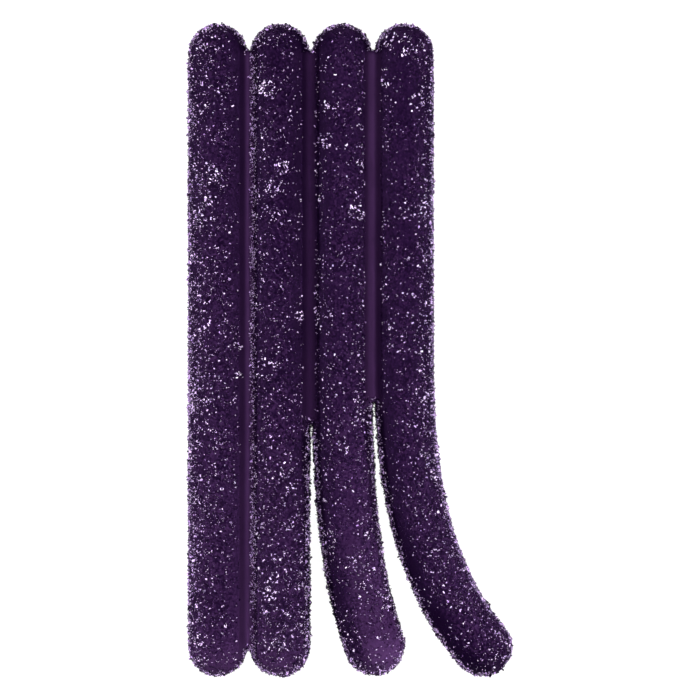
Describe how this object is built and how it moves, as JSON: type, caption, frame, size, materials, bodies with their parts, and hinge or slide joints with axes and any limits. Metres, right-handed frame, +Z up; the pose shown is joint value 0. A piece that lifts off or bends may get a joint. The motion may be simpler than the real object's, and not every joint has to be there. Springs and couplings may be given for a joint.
{
  "type": "sugar-coated gummy sticks",
  "caption": "Sugar-coated gummy sticks moulded side by side and joined by thin webs, with the last ones peeled apart and curling away at one end.",
  "frame": {"origin": "on the surface that the sticks lie on, under the middle of their outline as seen from above", "axes": "+X across the sticks to the right, towards the peeled ones; +Y along the sticks towards the ends that are all still joined; +Z up"},
  "size_m": [0.0436, 0.0875, 0.0079],
  "materials": {
    "gummy": "dark purple gelatine gummy, softly glossy, coated all over with clear coarse sugar crystals"
  },
  "bodies": {
    "root": {"gummy_sticks": "gummy"}
  },
  "joints": []
}
